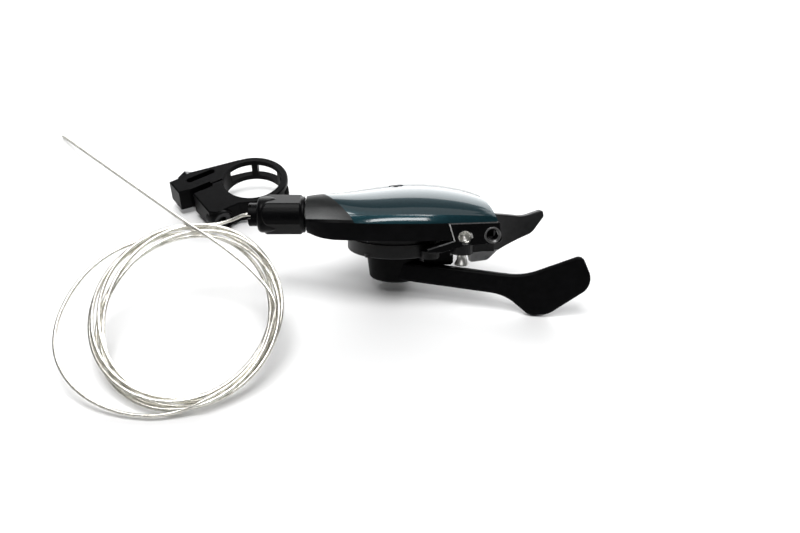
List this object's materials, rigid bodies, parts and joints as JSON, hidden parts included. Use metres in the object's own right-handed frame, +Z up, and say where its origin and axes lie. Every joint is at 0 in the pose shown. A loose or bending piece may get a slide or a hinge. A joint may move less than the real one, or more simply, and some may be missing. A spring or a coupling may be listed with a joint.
{
  "type": "trigger gear shifter",
  "caption": "Right-hand trigger gear shifter with thumb paddle, release lever, barrel adjuster, coiled gear cable and a handlebar clamp lying beside it.",
  "frame": {"origin": "on the table, under the middle of the shifter and its clamp together, without the cable", "axes": "+X from the cable adjuster towards the levers, +Y away from the rider's side of the thumb paddle, +Z up from the table"},
  "size_m": [0.2089, 0.1815, 0.0357],
  "materials": {
    "cover_paint": "gloss metallic",
    "housing_plastic": "satin",
    "lever_black": "matte anodised",
    "bracket_black": "satin anodised",
    "barrel_plastic": "satin",
    "stem_black": "satin anodised",
    "mechanism_steel": "ground",
    "bright_steel": "bright",
    "dark_steel": "blackened",
    "spool_plastic": "satin",
    "bush_bronze": "plain",
    "clamp_black": "satin anodised",
    "cable_steel": "stranded stainless"
  },
  "bodies": {
    "shifter": {"housing": "housing_plastic", "cover": "cover_paint", "cover_screw": "dark_steel", "base_cup": "housing_plastic", "base_screws": "dark_steel", "mount_bracket": "bracket_black", "main_axle": "mechanism_steel", "axle_washer": "mechanism_steel", "lever_return_spring": "mechanism_steel", "hold_pawl_pin": "mechanism_steel", "spool_spring": "mechanism_steel", "cable_inner": "cable_steel", "release_pivot_screw": "bright_steel", "release_spring": "mechanism_steel", "clamp_band": "clamp_black", "clamp_pinch_bolt": "dark_steel", "clamp_pinch_nut": "dark_steel", "cable_lead": "cable_steel", "cable_loop": "cable_steel", "cable_coil": "cable_steel", "cable_tail": "cable_steel"},
    "thumb_lever": {"thumb_lever": "lever_black", "lever_bush": "bush_bronze", "pawl_carrier": "mechanism_steel", "drive_pawl_pin": "mechanism_steel"},
    "drive_pawl": {"drive_pawl": "mechanism_steel"},
    "spool": {"cable_spool": "spool_plastic", "ratchet_wheel": "mechanism_steel", "spool_bush": "bush_bronze", "cable_head": "bright_steel", "cable_wrap": "cable_steel"},
    "release_lever": {"release_lever": "lever_black", "release_bush": "bush_bronze", "release_stud": "mechanism_steel"},
    "hold_pawl": {"hold_pawl": "mechanism_steel"},
    "adjuster_barrel": {"adjuster_barrel": "barrel_plastic"},
    "adjuster_stem": {"adjuster_stem": "stem_black"}
  },
  "joints": [
    {"name": "thumb_lever_pivot", "type": "hinge", "parent": "shifter", "child": "thumb_lever", "pos_m": [0.01142, -0.02491, 0.00414], "axis": [0, 0.309, 0.9511], "range_deg": [0, 45], "stiffness_Nm_per_rad": 0.06, "springref_deg": -20.05},
    {"name": "spool_turn", "type": "hinge", "parent": "shifter", "child": "spool", "pos_m": [0.01142, -0.01756, 0.02677], "axis": [0, 0.309, 0.9511], "range_deg": [0, 45]},
    {"name": "drive_pawl_lift", "type": "hinge", "parent": "thumb_lever", "child": "drive_pawl", "pos_m": [0.00138, -0.01362, 0.02013], "axis": [0, -0.309, -0.9511], "range_deg": [0, 8], "stiffness_Nm_per_rad": 0.002, "springref_deg": -17.19},
    {"name": "release_lever_pivot", "type": "hinge", "parent": "shifter", "child": "release_lever", "pos_m": [0.03342, -0.02972, 0.01685], "axis": [0, 0.309, 0.9511], "range_deg": [0, 12], "stiffness_Nm_per_rad": 0.06, "springref_deg": -14.32},
    {"name": "hold_pawl_lift", "type": "hinge", "parent": "shifter", "child": "hold_pawl", "pos_m": [0.01142, -0.03226, 0.02619], "axis": [0, 0.309, 0.9511], "range_deg": [-4.5, 0]},
    {"name": "barrel_turn", "type": "hinge", "parent": "shifter", "child": "adjuster_barrel", "pos_m": [-0.03418, -0.02612, 0.02956], "axis": [-1, 0, 0], "range_deg": [0, 1081]},
    {"name": "stem_slide", "type": "slide", "parent": "shifter", "child": "adjuster_stem", "axis": [-1, 0, 0], "range_m": [0, 0.003]}
  ],
  "couplings": [
    {"joint": "spool_turn", "follows": "thumb_lever_pivot", "ratio": 1},
    {"joint": "hold_pawl_lift", "follows": "release_lever_pivot", "ratio": -0.36},
    {"joint": "barrel_turn", "follows": "stem_slide", "rad_per_m": 6283.2}
  ]
}
